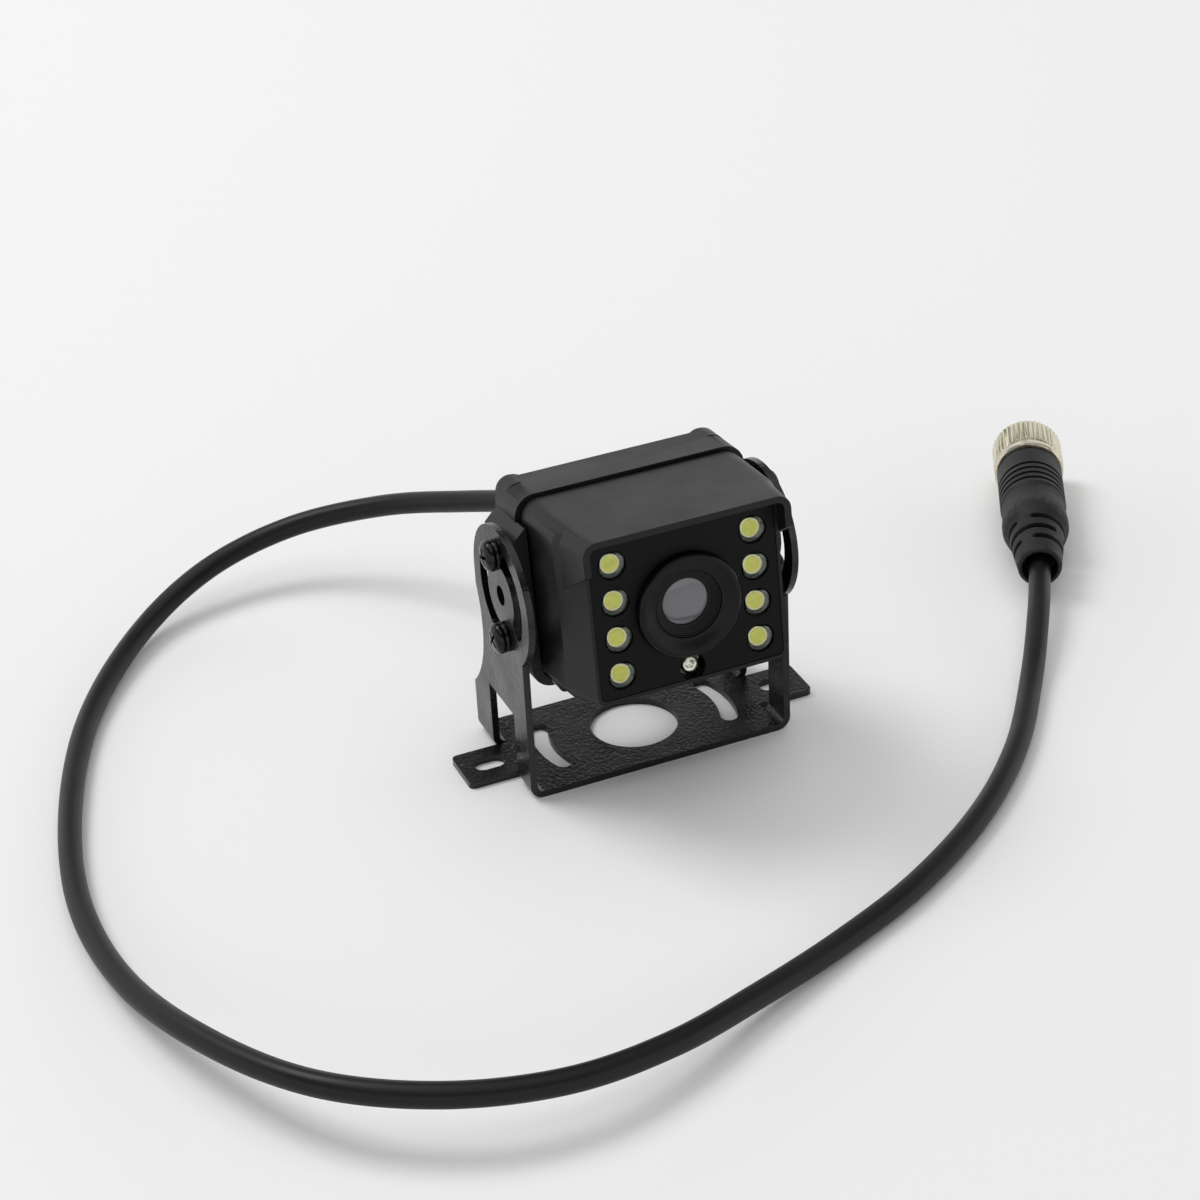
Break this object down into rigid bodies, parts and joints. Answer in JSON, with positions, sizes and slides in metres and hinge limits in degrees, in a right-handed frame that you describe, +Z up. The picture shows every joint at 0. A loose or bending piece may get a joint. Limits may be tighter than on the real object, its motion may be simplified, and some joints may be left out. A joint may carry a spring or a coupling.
{
  "type": "backup camera",
  "caption": "Hooded backup camera with lamps either side of its lens, on a tilting U-shaped steel bracket, with a thick lead ending in a screw-on round plug.",
  "frame": {"origin": "centre of the big hole in the bracket's base, on the surface it stands on", "axes": "+Z up, away from the surface; the lens looks towards -Y (and slightly up); +X towards the ear on the right as seen from in front"},
  "size_m": [0.2654, 0.214, 0.0676],
  "materials": {
    "powder_coated_steel": "satin, fine orange peel",
    "black_housing": "satin",
    "seal_rubber": "matte",
    "face_plastic": "fine grain",
    "black_anodised": "satin",
    "lens_glass": "coated, polished",
    "black_moulding": "matte",
    "sensor_window": "polished",
    "board_green": "solder mask",
    "lamp_body": "gloss",
    "phosphor": "matte",
    "clear_dome": "clear",
    "sensor_metal": "bright",
    "brass_plated": "plated",
    "zinc_screw": "zinc plated",
    "connector_nylon": "moulded",
    "wire_red": "extruded",
    "black_screw": "black nickel, polished",
    "gland_rubber": "satin",
    "cable_jacket": "satin",
    "plug_rubber": "matte",
    "nickel_plated": "nickel plated, satin",
    "gold_plated": "gold plated"
  },
  "bodies": {
    "bracket": {"bracket": "powder_coated_steel", "cable": "cable_jacket", "plug_sleeve": "plug_rubber", "plug_shell": "nickel_plated", "plug_seal": "seal_rubber", "contact_insert": "black_moulding", "contacts": "gold_plated"},
    "housing": {"rear_shell": "black_housing", "front_shell": "black_housing", "housing_gasket": "seal_rubber", "face_panel": "face_plastic", "lens_ring": "face_plastic", "lens_seal": "seal_rubber", "lens_barrel": "black_anodised", "lens_glass": "lens_glass", "inner_lens": "lens_glass", "lens_holder": "black_moulding", "image_sensor": "sensor_window", "sensor_board": "board_green", "lamp_board": "board_green", "lamp_cups": "lamp_body", "lamp_phosphors": "phosphor", "lamp_domes": "clear_dome", "light_sensor_base": "black_moulding", "light_sensor_element": "sensor_metal", "light_sensor_dome": "clear_dome", "board_spacers": "brass_plated", "board_screws": "zinc_screw", "board_connector": "connector_nylon", "lead_wires": "wire_red", "rear_screws": "black_screw", "tilt_screws": "black_screw", "tilt_washers": "black_screw", "cable_gland": "gland_rubber", "cable_entry": "cable_jacket"},
    "coupling_nut": {"coupling_nut": "nickel_plated"}
  },
  "joints": [
    {"name": "tilt", "type": "hinge", "parent": "bracket", "child": "housing", "pos_m": [0, -0.0054, 0.0445], "axis": [1, 0, 0], "range_deg": [-3.5, 120], "deforming": ["cable"]},
    {"name": "nut_turn", "type": "hinge", "parent": "bracket", "child": "coupling_nut", "pos_m": [0.12755, 0.05124, 0.0083], "axis": [0.4617, 0.887, 0], "continuous": true}
  ]
}
